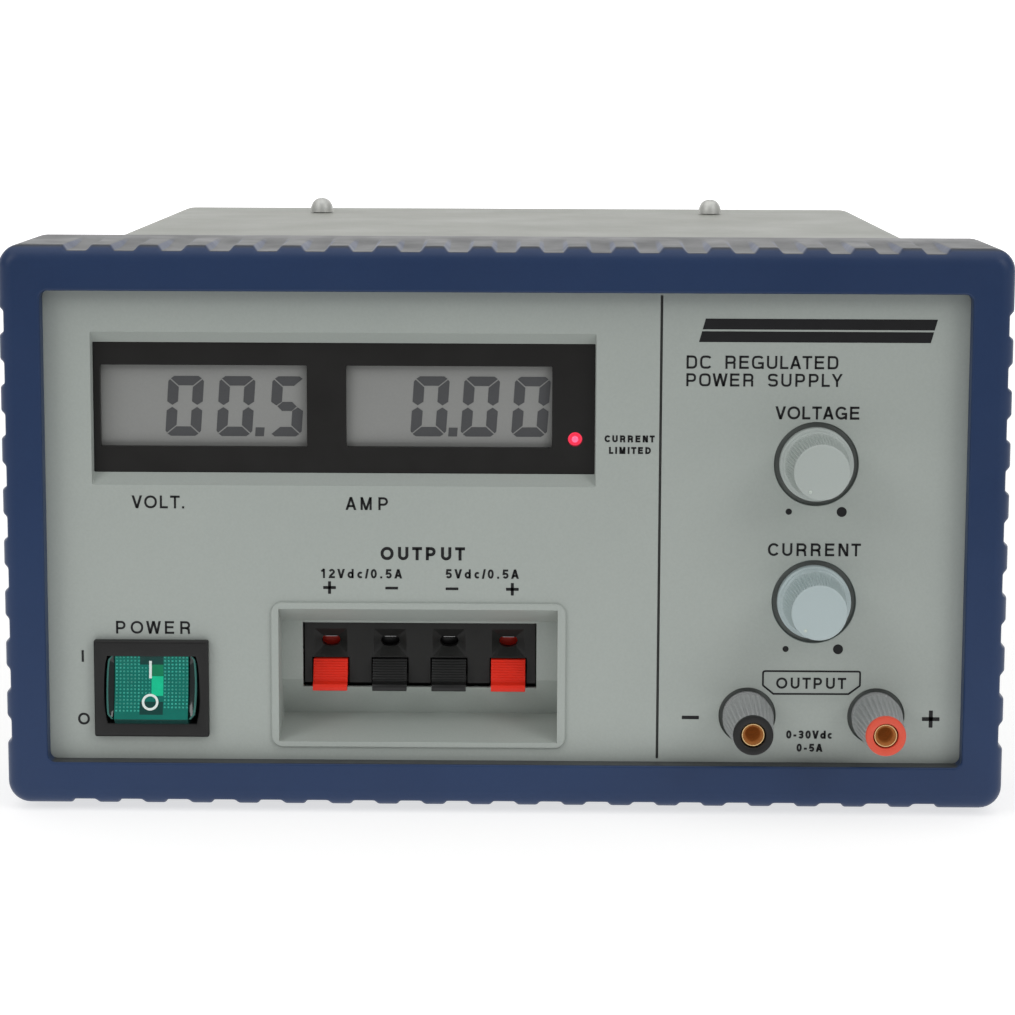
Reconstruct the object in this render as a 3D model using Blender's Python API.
"""Bench DC power supply: steel case, moulded front panel and a notched front bumper.

Every number below is in millimetres in the front datum: x = 0 on the centre line,
y = 0 on the bumper's front plane with +y towards the rear, z = 0 on the bumper's
underside. place() turns those into metres in the part's frame, whose origin is the
centre of the footprint on the surface that the feet stand on.
"""
import math

import bmesh
import bpy
from mathutils import Matrix, Vector

MM = 0.001
GAP = 0.3                       # clearance left between touching pieces

# ---- driving dimensions -------------------------------------------------------
BUMPER_W, BUMPER_H, BUMPER_D = 268.0, 150.0, 49.0
BUMPER_FILLET = 4.3
BUMPER_CORNER = 6.0
LIP_T = 5.0                     # front lip that frames the panel
OPEN_X, OPEN_Z0, OPEN_Z1 = 122.15, 11.8, 138.0
CASE_X, CASE_Z0, CASE_Z1, CASE_R = 125.5, 5.4, 144.6, 8.0
CASE_Y0, CASE_Y1 = 9.2, 320.0
SHEET = 1.2                     # steel sheet thickness
NOTCH_DEPTH = 1.5
NOTCH_TOP, NOTCH_FLOOR = 7.2, 4.4
NOTCH_PITCH_X, NOTCH_COUNT_X = 12.5, 19
NOTCH_PITCH_Z, NOTCH_COUNT_Z = 13.7, 9
FOOT_DROP = 1.5                 # feet reach this far below the bumper

PANEL_Y, PANEL_T = 5.3, 3.4     # front face and thickness of the moulded panel
DISPLAY = (-109.6, 23.6, 86.0, 127.0)
MASK_HOLE = (-109.5, 23.5, 89.0, 123.8)
LCD_V = (-107.5, -52.5, 95.8, 117.6)
LCD_A = (-42.3, 12.4, 95.6, 117.3)
LED_X, LED_Z = 18.3, 98.1
DIVIDER_X = 40.8

KNOB_X = 82.4
KNOB_V_Z, KNOB_A_Z = 92.6, 55.6
KNOB_RECESS_R, KNOB_REACH = 11.2, 17.0
SHAFT_R, SHAFT_BORE_R = 3.0, 3.3

SWITCH = (-109.9, -79.2, 18.1, 44.4)
ROCKER_X0, ROCKER_X1 = -106.6, -82.2
ROCKER_Y, ROCKER_Z, ROCKER_R = 7.0, 31.0, 10.1
ROCKER_THROW = 22.5             # degrees between on and off

POCKET = (-60.1, 14.0)
BLOCK_X0, BLOCK_X1 = -54.3, 8.3
LEVER_X = (-47.15, -31.1, -15.1, 0.95)
LEVER_W = 9.3
LEVER_Y, LEVER_Z = 22.3, 36.4   # lever pivot

POST_Z = 24.5
POST_X = {"negative": 65.1, "positive": 99.6}
POST_FRONT = -19.4
STUD_R, STUD_BORE_R, POST_BORE_R = 2.95, 2.0, 3.25

REAR_Y, REAR_T = 317.0, 1.5
REAR_MOST = 322.4               # rear face of the fan guard
FAN_X, FAN_Z, FAN_SIZE, FAN_D = 62.0, 75.0, 80.0, 25.0
INLET_X, INLET_Z0, INLET_Z1 = -85.0, 20.0, 60.0
SELECT_X, SELECT_Z = -42.0, 40.0

Y_SHIFT = -(POST_FRONT + REAR_MOST) / 2.0
Z_SHIFT = FOOT_DROP


# ---- helpers ------------------------------------------------------------------
def place(x, y, z):
    return Vector((x * MM, (y + Y_SHIFT) * MM, (z + Z_SHIFT) * MM))


for old in list(bpy.data.objects):
    bpy.data.objects.remove(old, do_unlink=True)

MATERIALS = {}


def material(name, colour, roughness, metallic=0.0):
    if name not in MATERIALS:
        mat = bpy.data.materials.new(name)
        mat.use_nodes = True
        shader = mat.node_tree.nodes["Principled BSDF"]
        shader.inputs["Base Color"].default_value = (*colour, 1.0)
        shader.inputs["Roughness"].default_value = roughness
        shader.inputs["Metallic"].default_value = metallic
        mat.diffuse_color = (*colour, 1.0)
        MATERIALS[name] = mat
    return MATERIALS[name]


BLUE = material("bumper_blue", (0.030, 0.055, 0.125), 0.5)
PANEL_GREY = material("panel_grey", (0.30, 0.33, 0.31), 0.5)
CASE_GREY = material("case_paint", (0.42, 0.43, 0.40), 0.45)
STEEL = material("zinc_steel", (0.55, 0.56, 0.57), 0.35, 1.0)
RUBBER = material("foot_rubber", (0.02, 0.02, 0.02), 0.8)
BLACK = material("black_plastic", (0.02, 0.02, 0.02), 0.4)
LCD_GREY = material("lcd_glass", (0.22, 0.22, 0.21), 0.2)
LED_RED = material("led_red", (0.9, 0.03, 0.06), 0.2)
BOARD = material("circuit_board", (0.03, 0.16, 0.06), 0.5)
KNOB_GREY = material("knob_grey", (0.40, 0.46, 0.45), 0.4)
ROCKER_GREEN = material("rocker_green", (0.0, 0.20, 0.12), 0.15)
LEVER_RED = material("lever_red", (0.60, 0.03, 0.02), 0.35)
BRASS = material("brass", (0.75, 0.48, 0.22), 0.25, 1.0)
NICKEL = material("nickel", (0.70, 0.68, 0.62), 0.2, 1.0)
CAP_GREY = material("cap_grey", (0.33, 0.33, 0.33), 0.4)
ALUMINIUM = material("aluminium", (0.70, 0.71, 0.72), 0.35, 1.0)
COPPER = material("enamelled_copper", (0.55, 0.22, 0.08), 0.3, 0.6)
LAMINATION = material("lamination", (0.16, 0.16, 0.17), 0.5, 0.7)
SLEEVE = material("capacitor_sleeve", (0.02, 0.03, 0.08), 0.3)
GLASS = material("fuse_glass", (0.75, 0.80, 0.80), 0.05)


def finish_mesh(bm, name, origin):
    """Turn a bmesh in datum millimetres into mesh data in metres about its origin."""
    base = place(*origin)
    for v in bm.verts:
        v.co = place(*v.co) - base
    bmesh.ops.recalc_face_normals(bm, faces=bm.faces)
    mesh = bpy.data.meshes.new(name)
    bm.to_mesh(mesh)
    bm.free()
    return mesh


def add(name, bm, mat, origin=(0, 0, 0), smooth=None):
    mesh = finish_mesh(bm, name, origin)
    mesh.materials.append(mat)
    if smooth is not None:
        mesh.shade_smooth()
        mesh.set_sharp_from_angle(angle=math.radians(smooth))
    obj = bpy.data.objects.new(name, mesh)
    obj.location = place(*origin)
    bpy.context.scene.collection.objects.link(obj)
    return obj


def boolean(obj, bm, operation="DIFFERENCE", label="cut"):
    """Cut (or join) a guide solid into obj; the guide itself stays hidden."""
    index = len(obj.modifiers)
    guide = bpy.data.objects.new(
        f"{obj.name}_{label}_{index}", finish_mesh(bm, f"{obj.name}_{label}_{index}", (0, 0, 0))
    )
    guide.location = place(0, 0, 0)
    guide.hide_render = True
    guide.display_type = "WIRE"
    bpy.context.scene.collection.objects.link(guide)
    mod = obj.modifiers.new(f"{label}_{index}", "BOOLEAN")
    mod.operation = operation
    mod.solver = "EXACT"
    mod.object = guide


def prism(points, axis, low, high, bm=None):
    """Straight extrusion of a closed outline. X takes (y, z), Y takes (x, z), Z takes (x, y)."""
    bm = bm or bmesh.new()
    put = {
        "X": lambda p, t: (t, p[0], p[1]),
        "Y": lambda p, t: (p[0], t, p[1]),
        "Z": lambda p, t: (p[0], p[1], t),
    }[axis]
    a = [bm.verts.new(put(p, low)) for p in points]
    b = [bm.verts.new(put(p, high)) for p in points]
    bm.faces.new(a)
    bm.faces.new(list(reversed(b)))
    for i in range(len(points)):
        j = (i + 1) % len(points)
        bm.faces.new((a[j], a[i], b[i], b[j]))
    return bm


def loft(rings, bm=None):
    """Closed solid through rings that all have the same number of 3-D points."""
    bm = bm or bmesh.new()
    rows = [[bm.verts.new(p) for p in ring] for ring in rings]
    bm.faces.new(rows[0])
    bm.faces.new(list(reversed(rows[-1])))
    for a, b in zip(rows, rows[1:]):
        for i in range(len(a)):
            j = (i + 1) % len(a)
            bm.faces.new((a[j], a[i], b[i], b[j]))
    return bm


def box(x0, x1, y0, y1, z0, z1, bm=None):
    return prism([(x0, z0), (x1, z0), (x1, z1), (x0, z1)], "Y", y0, y1, bm)


def rounded(x0, x1, z0, z1, r, steps=4, low_r=None):
    """Rounded rectangle outline, counter-clockwise. low_r is the lower corners' radius."""
    q = r if low_r is None else low_r
    pts = []
    for cx, cz, start, radius in (
        (x1 - q, z0 + q, -90, q), (x1 - r, z1 - r, 0, r), (x0 + r, z1 - r, 90, r), (x0 + q, z0 + q, 180, q),
    ):
        for k in range(steps + 1):
            a = math.radians(start + 90.0 * k / steps)
            pts.append((cx + radius * math.cos(a), cz + radius * math.sin(a)))
    return pts


def circle(cx, cz, r, count, start=0.0):
    return [
        (cx + r * math.cos(start + math.tau * k / count), cz + r * math.sin(start + math.tau * k / count))
        for k in range(count)
    ]


def turned(profile, axis, centre, count, closed=False, ripple=None, bm=None):
    """Turned solid. profile is (radius, position) along the axis; ripple(k) scales a radius."""
    bm = bm or bmesh.new()
    rows = []
    for index, (radius, t) in enumerate(profile):
        ring = []
        for k in range(1 if radius == 0 else count):
            a = math.tau * k / count
            rr = radius * (ripple(index, k) if ripple else 1.0)
            u, v = rr * math.cos(a), rr * math.sin(a)
            point = {
                "X": (t, centre[0] + u, centre[1] + v),
                "Y": (centre[0] + u, t, centre[1] + v),
                "Z": (centre[0] + u, centre[1] + v, t),
            }[axis]
            ring.append(bm.verts.new(point))
        rows.append(ring)
    pairs = list(zip(rows, rows[1:])) + ([(rows[-1], rows[0])] if closed else [])
    for a, b in pairs:
        for k in range(count):
            j = (k + 1) % count
            if len(a) == 1 and len(b) == 1:
                continue
            if len(a) == 1:
                bm.faces.new((a[0], b[j], b[k]))
            elif len(b) == 1:
                bm.faces.new((a[k], a[j], b[0]))
            else:
                bm.faces.new((a[k], a[j], b[j], b[k]))
    if not closed:
        for row in (rows[0], rows[-1]):
            if len(row) > 1:
                bm.faces.new(row)
    return bm


def turn_about(points, pivot, degrees):
    """Rotate (y, z) points about the X axis through pivot."""
    c, s = math.cos(math.radians(degrees)), math.sin(math.radians(degrees))
    out = []
    for y, z in points:
        dy, dz = y - pivot[0], z - pivot[1]
        out.append((pivot[0] + dy * c - dz * s, pivot[1] + dy * s + dz * c))
    return out


# ---- front bumper -------------------------------------------------------------
def bumper_outline(inset, notch):
    """Outline of the bumper with its grip notches, inset from the full size."""
    floor = max(inset, notch)
    hw, hh = BUMPER_W / 2, BUMPER_H / 2
    zc = BUMPER_H / 2
    xs = [(i - (NOTCH_COUNT_X - 1) / 2) * NOTCH_PITCH_X for i in range(NOTCH_COUNT_X)]
    zs = [(i - (NOTCH_COUNT_Z - 1) / 2) * NOTCH_PITCH_Z for i in range(NOTCH_COUNT_Z)]
    steps = ((-NOTCH_TOP / 2, inset), (-NOTCH_FLOOR / 2, floor), (NOTCH_FLOOR / 2, floor), (NOTCH_TOP / 2, inset))
    r = max(BUMPER_CORNER - inset, 1.2)
    pts = []

    def corner(cx, cz, start):
        for k in range(4):
            a = math.radians(start + 90.0 * k / 3)
            pts.append((cx + r * math.cos(a), cz + r * math.sin(a)))

    right, top = hw - inset - r, hh - inset - r
    for c in xs:
        pts.extend((c + s, zc - hh + d) for s, d in steps)
    corner(right, zc - top, -90)
    for c in zs:
        pts.extend((hw - d, zc + c + s) for s, d in steps)
    corner(right, zc + top, 0)
    for c in reversed(xs):
        pts.extend((c - s, zc + hh - d) for s, d in steps)
    corner(-right, zc + top, 90)
    for c in reversed(zs):
        pts.extend((-hw + d, zc + c - s) for s, d in steps)
    corner(-right, zc - top, 180)
    return pts


rings = []
for y, inset, notch in (
    (0.0, BUMPER_FILLET, NOTCH_DEPTH),
    (1.25, 1.25, NOTCH_DEPTH),
    (BUMPER_FILLET, 0.0, NOTCH_DEPTH),
    (BUMPER_D, 0.0, NOTCH_DEPTH),
):
    rings.append([(x, y, z) for x, z in bumper_outline(inset, notch)])
bumper = add("front_bumper", loft(rings), BLUE, (0, 0, 0))
boolean(bumper, prism(rounded(-OPEN_X, OPEN_X, OPEN_Z0, OPEN_Z1, 2.0, 3), "Y", -2, LIP_T + 1))
boolean(
    bumper,
    prism(rounded(-CASE_X - GAP, CASE_X + GAP, CASE_Z0 - GAP, CASE_Z1 + GAP, CASE_R + GAP, 4, 0.5), "Y", LIP_T, BUMPER_D + 2),
)

# ---- front panel --------------------------------------------------------------
PANEL_BACK = PANEL_Y + PANEL_T
panel = add(
    "front_panel",
    prism(rounded(-CASE_X + 0.2, CASE_X - 0.2, CASE_Z0 + 0.2, CASE_Z1 - 0.2, CASE_R - 0.2, 3, 1.0), "Y", PANEL_Y, PANEL_BACK),
    PANEL_GREY,
)
# moulded pocket for the push terminals, with its raised rim
boolean(
    panel,
    prism([(8.0, 53.0), (17.4, 48.9), (17.9, 31.9), (23.9, 21.5), (23.9, 20.2), (8.0, 16.0)], "X", POCKET[0] - 1.6, POCKET[1] + 1.6),
    "UNION",
    "join",
)
boolean(panel, prism(rounded(-62.3, 16.4, 15.6, 54.1, 3.0, 3), "Y", PANEL_Y - 0.8, PANEL_Y + 1.0), "UNION", "join")
boolean(
    panel,
    prism([(3.9, 53.15), (15.8, 47.6), (16.3, 31.5), (22.3, 21.1), (3.9, 16.66)], "X", POCKET[0], POCKET[1]),
)
boolean(panel, box(BLOCK_X0 - GAP, BLOCK_X1 + GAP, 15.0, 28.0, 27.9, 47.2))
# display recess, with its sloping top and bottom edges
x0, x1, z0, z1 = DISPLAY
m0, m1, n0, n1 = MASK_HOLE


def display_ring(y):
    t = (y - PANEL_Y) / PANEL_T
    return [
        (x0 + (m0 - x0) * t, y, z0 + (n0 - z0) * t),
        (x1 + (m1 - x1) * t, y, z0 + (n0 - z0) * t),
        (x1 + (m1 - x1) * t, y, z1 + (n1 - z1) * t),
        (x0 + (m0 - x0) * t, y, z1 + (n1 - z1) * t),
    ]


boolean(panel, loft([display_ring(PANEL_Y - 0.5), display_ring(PANEL_BACK + 0.5)]))
# holes and recesses that pass through or into the plate
cuts = bmesh.new()
box(SWITCH[0] + 1.5, SWITCH[1] - 1.5, PANEL_Y - 1, PANEL_BACK + 1, SWITCH[2] + 1.4, SWITCH[3] - 1.7, cuts)
for kz in (KNOB_V_Z, KNOB_A_Z):
    turned([(KNOB_RECESS_R, PANEL_Y - 1), (KNOB_RECESS_R, PANEL_Y + 1.6), (5.0, PANEL_Y + 1.6), (5.0, PANEL_BACK + 1)], "Y", (KNOB_X, kz), 24, bm=cuts)
for px in POST_X.values():
    turned([(7.55, PANEL_Y - 1), (7.55, PANEL_Y + 1.5), (5.2, PANEL_Y + 1.5), (5.2, PANEL_BACK + 1)], "Y", (px, POST_Z), 20, bm=cuts)
box(DIVIDER_X - 0.35, DIVIDER_X + 0.35, PANEL_Y - 1, PANEL_Y + 0.6, 12.6, 137.2, cuts)
boolean(panel, cuts)

# ---- case ---------------------------------------------------------------------
tray = add(
    "chassis_tray",
    prism(
        [(-123.9, 5.4), (123.9, 5.4), (123.9, 22.0), (122.7, 22.0), (122.7, 6.6), (-122.7, 6.6), (-122.7, 22.0), (-123.9, 22.0)],
        "Y", CASE_Y0, 316.6,
    ),
    STEEL,
)
bosses = bmesh.new()
for bx in (8.0, 104.0):
    for by in (88.0, 192.0):
        turned([(3.0, 6.0), (3.0, 15.7)], "Z", (bx, by), 8, bm=bosses)
boolean(tray, bosses, "UNION", "join")
SIDE_SCREW_Y, SIDE_SCREW_Z = (110.0, 290.0), 14.0
vents = bmesh.new()
for k in range(7):
    box(-18.0, 18.0, 90.0 + 12.0 * k, 94.0 + 12.0 * k, 4.0, 8.0, vents)
for sy in SIDE_SCREW_Y:
    turned([(1.9, -127), (1.9, -120)], "X", (sy, SIDE_SCREW_Z), 10, bm=vents)
    turned([(1.9, 120), (1.9, 127)], "X", (sy, SIDE_SCREW_Z), 10, bm=vents)
boolean(tray, vents)


def cover_arc(r, cx, start):
    return [
        (cx + r * math.cos(math.radians(start + 90.0 * k / 4)), CASE_Z1 - CASE_R + r * math.sin(math.radians(start + 90.0 * k / 4)))
        for k in range(5)
    ]


edge = CASE_X - CASE_R
outer = [(CASE_X, CASE_Z0)] + cover_arc(CASE_R, edge, 0) + cover_arc(CASE_R, -edge, 90) + [(-CASE_X, CASE_Z0)]
inner = [(CASE_X - SHEET, CASE_Z0)] + cover_arc(CASE_R - SHEET, edge, 0) + cover_arc(CASE_R - SHEET, -edge, 90) + [(-CASE_X + SHEET, CASE_Z0)]
cover = add("top_cover", prism(outer + list(reversed(inner)), "Y", CASE_Y0, CASE_Y1), CASE_GREY, smooth=30)
TOP_SCREW_X, TOP_SCREW_Y = 68.6, 285.0
slots = bmesh.new()
for k in range(12):
    box(-130.0, 130.0, 176.0 + 9.0 * k, 179.0 + 9.0 * k, 62.0, 112.0, slots)
for sx in (-TOP_SCREW_X, TOP_SCREW_X):
    turned([(1.9, 140), (1.9, 148)], "Z", (sx, TOP_SCREW_Y), 10, bm=slots)
for sy in SIDE_SCREW_Y:
    turned([(1.9, -128), (1.9, -120)], "X", (sy, SIDE_SCREW_Z), 10, bm=slots)
    turned([(1.9, 120), (1.9, 128)], "X", (sy, SIDE_SCREW_Z), 10, bm=slots)
boolean(cover, slots)

rear = add(
    "rear_panel",
    prism(rounded(-123.9, 123.9, 7.0, 142.9, 6.4, 4, 0.5), "Y", REAR_Y, REAR_Y + REAR_T),
    CASE_GREY,
)
boolean(rear, box(-112.0, 112.0, 275.0, REAR_Y + 0.8, 141.6, 142.8), "UNION", "join")
rear_cuts = bmesh.new()
turned([(38.5, REAR_Y - 2), (38.5, REAR_Y + REAR_T + 2)], "Y", (FAN_X, FAN_Z), 32, bm=rear_cuts)
box(INLET_X - 13.9, INLET_X + 13.9, REAR_Y - 2, REAR_Y + REAR_T + 2, INLET_Z0 + 1.9, INLET_Z1 - 1.9, rear_cuts)
box(SELECT_X - 9.3, SELECT_X + 9.3, REAR_Y - 2, REAR_Y + REAR_T + 2, SELECT_Z - 5.3, SELECT_Z + 5.3, rear_cuts)
for sx in (-TOP_SCREW_X, TOP_SCREW_X):
    turned([(1.9, 140), (1.9, 145)], "Z", (sx, TOP_SCREW_Y), 10, bm=rear_cuts)
boolean(rear, rear_cuts)

for side, fx in (("left", -104.0), ("right", 104.0)):
    for end, fy in (("front", 84.0), ("rear", 292.0)):
        add(
            f"foot_{end}_{side}",
            turned([(0, 1.6), (3.4, 1.6), (3.4, -1.5), (8.2, -1.5), (8.6, -0.9), (9.2, CASE_Z0 - GAP), (0, CASE_Z0 - GAP)], "Z", (fx, fy), 20),
            RUBBER, (fx, fy, -1.5), 35,
        )


def screw(name, axis, sign, seat, centre, head_r, head_h, shank):
    """Pan-head screw whose head sits on `seat`, pointing along sign * axis."""
    t = lambda d: seat + sign * d
    profile = [
        (0, t(head_h)), (head_r * 0.62, t(head_h * 0.93)), (head_r * 0.92, t(head_h * 0.62)), (head_r, t(0.0)),
        (1.45, t(0.0)), (1.45, t(-shank)), (0, t(-shank)),
    ]
    origin = {"Z": (centre[0], centre[1], seat), "X": (seat, centre[0], centre[1])}[axis]
    add(name, turned(profile, axis, centre, 14), NICKEL, origin, 40)


for label, sx in (("left", -TOP_SCREW_X), ("right", TOP_SCREW_X)):
    screw(f"top_screw_{label}", "Z", 1, CASE_Z1 + GAP, (sx, TOP_SCREW_Y), 3.95, 4.9, 8.0)
for label, sign in (("left", -1), ("right", 1)):
    for end, sy in zip(("front", "rear"), SIDE_SCREW_Y):
        screw(f"side_screw_{end}_{label}", "X", sign, sign * (CASE_X + GAP), (sy, SIDE_SCREW_Z), 3.4, 2.1, 7.0)

# ---- display ------------------------------------------------------------------
window = add("display_window", box(-112.0, 26.0, 9.0, 10.8, 86.5, 126.4), BLACK)
holes = bmesh.new()
for a, b, c, d in (LCD_V, LCD_A):
    box(a, b, 8.0, 12.0, c, d, holes)
turned([(1.9, 8.0), (1.9, 12.0)], "Y", (LED_X, LED_Z), 16, bm=holes)
boolean(window, holes)
for name, (a, b, c, d) in (("lcd_volts", LCD_V), ("lcd_amps", LCD_A)):
    add(name, box(a - 2.4, b + 2.4, 11.1, 14.1, c - 3.2, d + 3.0), LCD_GREY, ((a + b) / 2, 11.1, (c + d) / 2))
add(
    "limit_led",
    turned([(0, 9.0), (1.0, 9.25), (1.5, 10.1), (1.5, 11.2), (1.9, 11.2), (1.9, 14.2), (0, 14.2)], "Y", (LED_X, LED_Z), 14),
    LED_RED, (LED_X, 9.0, LED_Z), 40,
)
add("display_board", box(-112.0, 26.0, 14.6, 16.2, 87.0, 126.0), BOARD, (-43.0, 14.6, 106.5))

# ---- potentiometers and knobs -------------------------------------------------
for name, kz in (("voltage", KNOB_V_Z), ("current", KNOB_A_Z)):
    centre = (KNOB_X, kz)
    add(
        f"{name}_pot",
        turned([(SHAFT_BORE_R, 7.3), (4.6, 7.3), (4.6, 9.1), (8.2, 9.1), (8.2, 18.6), (SHAFT_BORE_R, 18.6)], "Y", centre, 20, closed=True),
        STEEL, (KNOB_X, 9.1, kz), 35,
    )
    add(f"{name}_shaft", turned([(0, -5.6), (SHAFT_R, -5.6), (SHAFT_R, 19.6), (0, 19.6)], "Y", centre, 16), STEEL, (KNOB_X, 0.0, kz), 40)
    front = PANEL_Y - KNOB_REACH
    add(
        f"{name}_knob",
        turned(
            [
                (0, front), (6.9, front), (7.35, front + 0.5), (8.5, 3.0), (9.7, 3.6), (9.8, 4.2), (9.8, 6.5),
                (SHAFT_BORE_R, 6.5), (SHAFT_BORE_R, -6.0), (0, -6.0),
            ],
            "Y", centre, 24,
        ),
        KNOB_GREY, (KNOB_X, 0.0, kz), 40,
    )

# ---- power switch -------------------------------------------------------------
sx0, sx1, sz0, sz1 = SWITCH
switch = add("power_switch_body", box(sx0, sx1, 3.0, PANEL_Y - GAP, sz0, sz1), BLACK)
boolean(switch, box(sx0 + 1.8, sx1 - 1.8, 4.4, 26.0, sz0 + 1.7, sz1 - 2.0), "UNION", "join")
boolean(switch, turned([(ROCKER_R + 0.4, ROCKER_X0 - 0.4), (ROCKER_R + 0.4, ROCKER_X1 + 0.4)], "X", (ROCKER_Y, ROCKER_Z), 36))

HALF = math.radians(59.0)       # corner of the rocker's face, measured from straight ahead
TILT = ROCKER_THROW / 2
profile = []
for k in range(7):              # dished front face, bottom to top
    t = -1 + 2 * k / 6
    z = ROCKER_R * math.sin(HALF) * t
    y = -ROCKER_R * math.cos(HALF) + 0.8 * (1 - t * t)
    profile.append((ROCKER_Y + y, ROCKER_Z + z))
for k in range(1, 6):           # round ends that sweep past the bezel
    a = HALF + math.radians(50.0) * k / 5
    profile.append((ROCKER_Y - ROCKER_R * math.cos(a), ROCKER_Z + ROCKER_R * math.sin(a)))
for k in range(5, 0, -1):
    a = HALF + math.radians(50.0) * k / 5
    profile.append((ROCKER_Y - ROCKER_R * math.cos(a), ROCKER_Z - ROCKER_R * math.sin(a)))
add(
    "power_rocker",
    prism(turn_about(profile, (ROCKER_Y, ROCKER_Z), -TILT), "X", ROCKER_X0, ROCKER_X1),
    ROCKER_GREEN, ((ROCKER_X0 + ROCKER_X1) / 2, ROCKER_Y, ROCKER_Z), 30,
)

# ---- push terminals -----------------------------------------------------------
block = add(
    "terminal_block",
    prism([(17.9, 30.7), (20.6, 30.7), (20.6, 28.2), (31.0, 28.2), (31.0, 46.9), (17.9, 46.9)], "X", BLOCK_X0, BLOCK_X1),
    BLACK,
)
wells = bmesh.new()
for cx in LEVER_X:
    half = LEVER_W / 2 + 0.4
    prism([(16.8, 38.3), (24.3, 38.3), (24.3, 34.0), (20.8, 32.4), (20.4, 30.0), (16.8, 30.0)], "X", cx - half, cx + half, wells)
boolean(block, wells)
funnels = bmesh.new()
for cx in LEVER_X:
    def ring(y, hw, hh, zc):
        return [(cx - hw, y, zc - hh), (cx + hw, y, zc - hh), (cx + hw, y, zc + hh), (cx - hw, y, zc + hh)]
    loft([ring(17.4, 4.9, 3.4, 42.15), ring(20.9, 1.9, 1.45, 41.9), ring(28.0, 1.9, 1.45, 41.9)], funnels)
boolean(block, funnels)

lever_outline = [(17.3, 37.9), (15.0, 31.3), (13.0, 30.7), (13.0, 28.9), (15.0, 28.7), (16.3, 31.2), (18.4, 33.6), (21.2, 34.8)]
lever_outline += [
    (LEVER_Y + 1.5 * math.cos(math.radians(a)), LEVER_Z + 1.5 * math.sin(math.radians(a))) for a in (-90, -45, 0, 45, 90)
]
for index, cx in enumerate(LEVER_X, 1):
    add(
        f"terminal_lever_{index}",
        prism(lever_outline, "X", cx - LEVER_W / 2, cx + LEVER_W / 2),
        LEVER_RED if index in (1, 4) else BLACK, (cx, LEVER_Y, LEVER_Z),
    )

# ---- binding posts ------------------------------------------------------------
for name, px in POST_X.items():
    centre = (px, POST_Z)
    front = POST_FRONT
    add(
        f"{name}_post_stud",
        turned([(0, front + 20), (STUD_BORE_R, front + 20), (STUD_BORE_R, front + 1.0), (STUD_R, front + 1.0), (STUD_R, 30.0), (0, 30.0)], "Y", centre, 18),
        BRASS, (px, 0.0, POST_Z), 40,
    )
    add(
        f"{name}_post_base",
        turned([(POST_BORE_R, 4.9), (6.8, 4.9), (7.1, 5.2), (7.1, 6.4), (4.9, 6.4), (4.9, 12.0), (POST_BORE_R, 12.0)], "Y", centre, 18, closed=True),
        CAP_GREY, (px, 4.9, POST_Z), 40,
    )
    add(
        f"{name}_post_washer",
        turned([(POST_BORE_R, 3.5), (5.9, 3.5), (5.9, 4.6), (POST_BORE_R, 4.6)], "Y", centre, 18, closed=True),
        NICKEL, (px, 4.6, POST_Z), 40,
    )
    add(
        f"{name}_post_cap",
        turned(
            [
                (POST_BORE_R, 3.2), (6.5, 3.2), (6.7, 2.8), (5.35, front + 1.7), (4.35, front + 1.7), (4.35, front + 4.2), (POST_BORE_R, front + 4.2),
            ],
            "Y", centre, 24, closed=True,
        ),
        CAP_GREY, (px, 3.2, POST_Z), 40,
    )
    add(
        f"{name}_post_ring",
        turned([(POST_BORE_R, front), (4.9, front), (5.1, front + 0.2), (5.1, front + 1.4), (4.05, front + 1.4), (4.05, front + 3.9), (POST_BORE_R, front + 3.9)], "Y", centre, 20, closed=True),
        BLACK if name == "negative" else LEVER_RED, (px, front, POST_Z), 40,
    )

# ---- rear: fan, inlet and selector --------------------------------------------
fan_back = REAR_Y - GAP
fan_front = fan_back - FAN_D
half = FAN_SIZE / 2
frame = add("fan_frame", prism(rounded(FAN_X - half, FAN_X + half, FAN_Z - half, FAN_Z + half, 4.0, 2), "Y", fan_front, fan_back), BLACK)
boolean(frame, turned([(38.0, fan_front - 1), (38.0, fan_back + 1)], "Y", (FAN_X, FAN_Z), 32))
spider = turned([(15.0, fan_front), (15.0, fan_front + 4.0)], "Y", (FAN_X, FAN_Z), 16)
boolean(frame, spider, "UNION", "join")
arms = bmesh.new()
box(FAN_X + 13.0, FAN_X + 39.0, fan_front + 0.5, fan_front + 3.5, FAN_Z - 1.5, FAN_Z + 1.5, arms)
box(FAN_X - 39.0, FAN_X - 13.0, fan_front + 0.5, fan_front + 3.5, FAN_Z - 1.5, FAN_Z + 1.5, arms)
box(FAN_X - 1.5, FAN_X + 1.5, fan_front + 0.5, fan_front + 3.5, FAN_Z + 13.0, FAN_Z + 39.0, arms)
boolean(frame, arms, "UNION", "join")

rotor = add("fan_rotor", turned([(0, fan_front + 4.6), (16.0, fan_front + 4.6), (16.0, fan_back - 1.5), (15.0, fan_back - 0.6), (0, fan_back - 0.6)], "Y", (FAN_X, FAN_Z), 21), BLACK, (FAN_X, fan_front + 4.6, FAN_Z), 40)
blades = bmesh.new()
for k in range(7):
    rows = []
    for r, pitch, chord in ((14.5, 50.0, 15.0), (26.0, 38.0, 20.0), (36.5, 28.0, 22.0)):
        a = math.tau * k / 7
        ring = []
        for s, t in ((-0.5, -0.6), (0.5, -0.6), (0.5, 0.6), (-0.5, 0.6)):
            along = s * chord * math.cos(math.radians(pitch)) - t * math.sin(math.radians(pitch))
            depth = s * chord * math.sin(math.radians(pitch)) + t * math.cos(math.radians(pitch))
            b = a + along / r
            ring.append((FAN_X + r * math.cos(b), (fan_front + fan_back) / 2 + 1.5 + depth, FAN_Z + r * math.sin(b)))
        rows.append(ring)
    loft(rows, blades)
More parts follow.
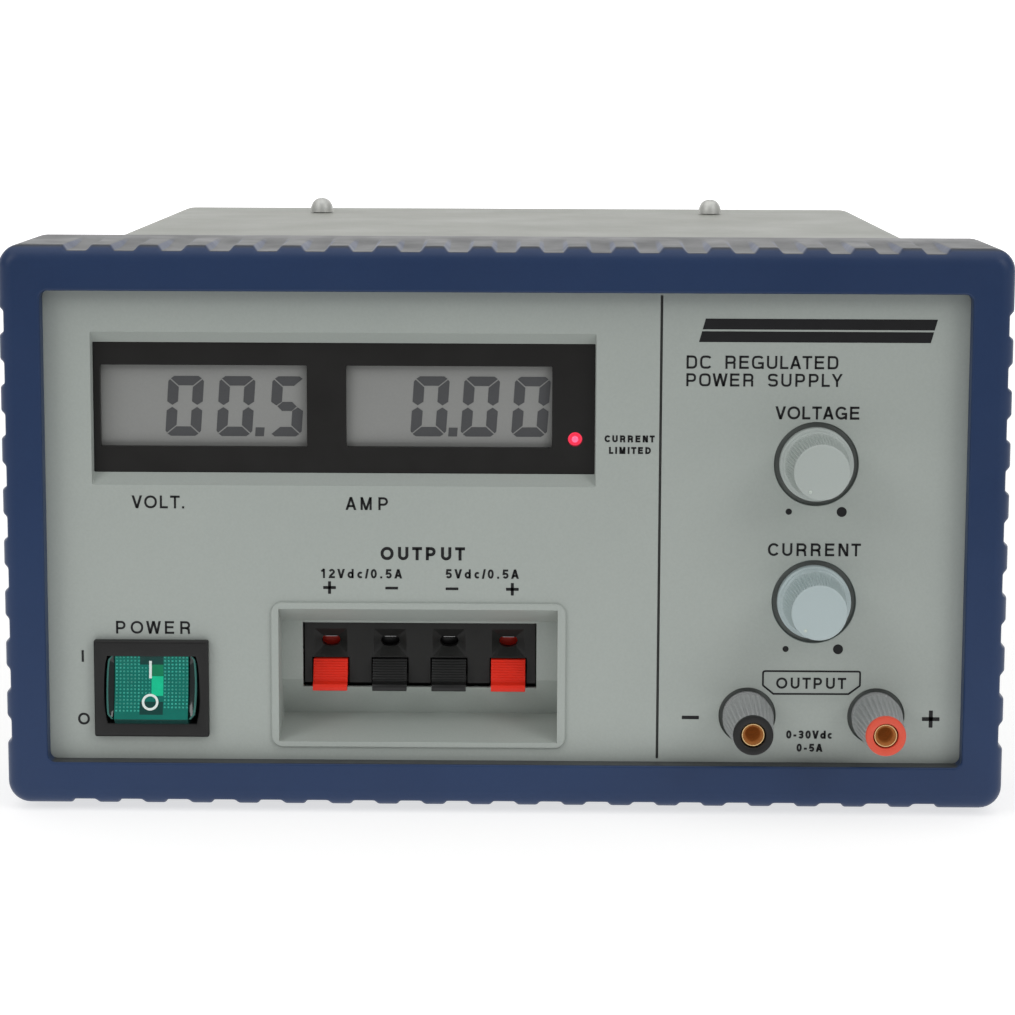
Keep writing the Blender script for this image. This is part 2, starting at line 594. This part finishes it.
boolean(rotor, blades, "UNION", "join")

guard = add("fan_guard", prism(rounded(FAN_X - 40.0, FAN_X + 40.0, FAN_Z - 40.0, FAN_Z + 40.0, 4.0, 2), "Y", REAR_Y + REAR_T + GAP, REAR_MOST), STEEL)
windows = bmesh.new()
for inner_r, outer_r in ((9.0, 17.0), (20.0, 27.5), (30.5, 37.5)):
    for quarter in range(4):
        span = math.pi / 2
        pad_in, pad_out = 1.6 / inner_r, 1.6 / outer_r
        start = quarter * span + math.pi / 4
        pts = []
        for k in range(5):
            a = start + pad_out + (span - 2 * pad_out) * k / 4
            pts.append((FAN_X + outer_r * math.cos(a), FAN_Z + outer_r * math.sin(a)))
        for k in range(4, -1, -1):
            a = start + pad_in + (span - 2 * pad_in) * k / 4
            pts.append((FAN_X + inner_r * math.cos(a), FAN_Z + inner_r * math.sin(a)))
        prism(pts, "Y", REAR_Y, REAR_MOST + 2, windows)
boolean(guard, windows)

rear_face = REAR_Y + REAR_T + GAP
inlet = add("ac_inlet", box(INLET_X - 15.6, INLET_X + 15.6, rear_face, rear_face + 2.6, INLET_Z0, INLET_Z1), BLACK)
boolean(inlet, box(INLET_X - 13.5, INLET_X + 13.5, 290.0, rear_face + 1.0, INLET_Z0 + 2.3, INLET_Z1 - 2.3), "UNION", "join")
socket_z0, socket_z1 = 38.6, 55.4
cavity = [
    (INLET_X - 12.0, socket_z0), (INLET_X + 12.0, socket_z0), (INLET_X + 12.0, socket_z1 - 4.5),
    (INLET_X + 7.5, socket_z1), (INLET_X - 7.5, socket_z1), (INLET_X - 12.0, socket_z1 - 4.5),
]
inlet_cuts = prism(cavity, "Y", 303.0, rear_face + 4.0)
box(INLET_X - 11.5, INLET_X + 11.5, 293.0, rear_face + 4.0, 24.0, 34.5, inlet_cuts)
boolean(inlet, inlet_cuts)
pins = bmesh.new()
for dx, dz in ((-7.0, 45.0), (7.0, 45.0), (0.0, 49.0)):
    box(INLET_X + dx - 1.0, INLET_X + dx + 1.0, 302.0, 318.0, dz - 2.0, dz + 2.0, pins)
boolean(inlet, pins, "UNION", "join")

drawer = add("fuse_drawer", box(INLET_X - 11.2, INLET_X + 11.2, 296.0, rear_face + 3.0, 24.3, 34.2), BLACK, (INLET_X, 296.0, 29.2))
boolean(drawer, box(INLET_X - 3.0, INLET_X + 3.0, 297.2, 318.4, 27.0, 36.0))
add("fuse", turned([(0, 297.8), (2.6, 297.8), (2.6, 317.8), (0, 317.8)], "Y", (INLET_X, 30.0), 12), GLASS, (INLET_X, 297.8, 30.0), 40)

selector = add("voltage_selector_body", box(SELECT_X - 15.0, SELECT_X + 15.0, rear_face, rear_face + 1.6, SELECT_Z - 7.0, SELECT_Z + 7.0), BLACK)
boolean(selector, box(SELECT_X - 9.0, SELECT_X + 9.0, 307.0, rear_face + 1.0, SELECT_Z - 5.0, SELECT_Z + 5.0), "UNION", "join")
boolean(selector, box(SELECT_X - 6.2, SELECT_X + 6.2, 312.0, rear_face + 3.0, SELECT_Z - 2.8, SELECT_Z + 2.8))
add(
    "voltage_selector_slider",
    box(SELECT_X - 5.8, SELECT_X + 0.2, 312.5, rear_face + 1.1, SELECT_Z - 2.5, SELECT_Z + 2.5),
    LEVER_RED, (SELECT_X - 2.8, 312.5, SELECT_Z),
)

# ---- inside the case ----------------------------------------------------------
core = add("transformer_core", box(-112.0, -16.0, 180.0, 235.0, 6.9, 86.9), LAMINATION)
core_windows = box(-96.0, -80.0, 175.0, 240.0, 22.9, 70.9)
box(-48.0, -32.0, 175.0, 240.0, 22.9, 70.9, core_windows)
boolean(core, core_windows)
coil = add("transformer_coil", prism(rounded(-95.6, -32.4, 165.0, 250.0, 4.0, 2), "Z", 23.3, 70.5), COPPER)
boolean(coil, box(-80.4, -47.6, 179.6, 235.4, 20.0, 75.0))

fins = [(20.0, 22.0), (26.0, 22.0)]
for k in range(10):
    z = 24.0 + 10.6 * k
    fins += [(26.0, z), (98.0, z), (98.0, z + 2.2), (26.0, z + 2.2)]
fins += [(26.0, 125.0), (20.0, 125.0)]
add("heatsink", prism(fins, "Y", 205.0, 280.0), ALUMINIUM, (20.0, 205.0, 22.0))
for index, ty in enumerate((218.0, 252.0), 1):
    add(f"power_transistor_{index}", box(14.7, 19.7, ty, ty + 15.6, 62.0, 82.0), BLACK, (14.7, ty, 62.0))

add("main_board", box(2.0, 110.0, 82.0, 198.0, 16.0, 17.6), BOARD, (2.0, 82.0, 16.0))
for index, (cx, cy, r, h) in enumerate(((32.0, 118.0, 17.5, 50.0), (80.0, 112.0, 12.5, 35.0)), 1):
    add(
        f"filter_capacitor_{index}",
        turned([(0, 17.9), (r, 17.9), (r, 17.9 + h - 0.8), (r - 0.8, 17.9 + h), (0, 17.9 + h)], "Z", (cx, cy), 20),
        SLEEVE, (cx, cy, 17.9), 40,
    )
add("bridge_rectifier", box(-74.0, -46.0, 100.0, 128.0, 6.9, 17.9), BLACK, (-60.0, 114.0, 6.9))
